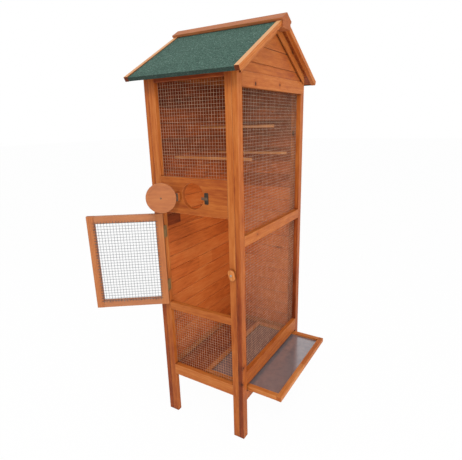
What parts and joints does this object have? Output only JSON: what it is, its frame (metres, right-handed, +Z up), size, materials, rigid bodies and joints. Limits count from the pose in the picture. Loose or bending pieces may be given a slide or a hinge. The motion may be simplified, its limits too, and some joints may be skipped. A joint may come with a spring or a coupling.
{
  "type": "wooden aviary",
  "caption": "Tall wooden bird cage on four legs with a gable roof, mesh front and side, hinged mesh door, round hatch and pull-out tray.",
  "frame": {"origin": "middle of the foot of the front left corner post, on the ground", "axes": "+X to the right along the front, +Y from front to back, +Z up"},
  "size_m": [0.7546, 0.8436, 1.6952],
  "materials": {
    "stained_frame": "orange-brown stained fir, satin",
    "stained_boards": "orange-brown stained fir boards, satin",
    "stained_trim": "lighter orange stained fir, satin",
    "turned_wood": "stained wood, satin",
    "natural_dowel": "pale dowel, plain",
    "mineral_felt": "green mineral roofing felt, matt",
    "galvanised_wire": "galvanised, dull",
    "galvanised_sheet": "galvanised sheet, soft sheen",
    "zinc_hardware": "zinc plated"
  },
  "bodies": {
    "cage": {"back_rails": "stained_frame", "back_stiles": "stained_frame", "back_wall_boards": "stained_boards", "barge_boards": "stained_trim", "door_hinge_fixed_leaves": "zinc_hardware", "door_sill_rail": "stained_frame", "floor_bearers": "stained_frame", "floor_boards": "stained_boards", "front_bottom_rail": "stained_frame", "front_lower_mesh": "galvanised_wire", "front_stiles": "stained_frame", "front_top_rail": "stained_frame", "front_upper_mesh": "galvanised_wire", "gable_trims": "stained_trim", "hatch_catch": "zinc_hardware", "hatch_hinge_block": "stained_frame", "hatch_hinge_fixed_leaf": "zinc_hardware", "hatch_panel": "stained_boards", "left_gable_boards": "stained_boards", "left_posts": "stained_frame", "left_rails": "stained_frame", "left_wall_boards": "stained_boards", "perches": "natural_dowel", "ridge_cap": "stained_trim", "right_bottom_rail": "stained_frame", "right_gable_boards": "stained_boards", "right_lower_mesh": "galvanised_wire", "right_mid_rail": "stained_frame", "right_posts": "stained_frame", "right_top_rail": "stained_frame", "right_upper_mesh": "galvanised_wire", "roof_deck_boards": "stained_boards", "roof_felt": "mineral_felt", "tray_sill_rail": "stained_frame", "turn_button_screw": "zinc_hardware"},
    "door": {"door_stiles": "stained_frame", "door_rails": "stained_frame", "door_mesh": "galvanised_wire", "door_hinge_moving_leaves": "zinc_hardware"},
    "hatch": {"hatch_disc": "turned_wood", "hatch_knob": "turned_wood", "hatch_hinge_moving_leaf": "zinc_hardware"},
    "tray": {"tray_frame": "stained_frame", "tray_sheet": "galvanised_sheet"},
    "button": {"turn_button": "turned_wood"}
  },
  "joints": [
    {"name": "door_hinge", "type": "hinge", "parent": "cage", "child": "door", "pos_m": [0.0415, -0.02, 0], "axis": [0, 0, 1], "range_deg": [-20, 144]},
    {"name": "hatch_hinge", "type": "hinge", "parent": "cage", "child": "hatch", "pos_m": [0.133, -0.0365, 1.042], "axis": [0, 0, 1], "range_deg": [-10, 146.6]},
    {"name": "tray_slide", "type": "slide", "parent": "cage", "child": "tray", "axis": [1, 0, 0], "range_m": [-0.155, 0.1]},
    {"name": "button_turn", "type": "hinge", "parent": "cage", "child": "button", "pos_m": [0.363, -0.0165, 0.757], "axis": [0, -1, 0], "range_deg": [-105, 75]}
  ]
}
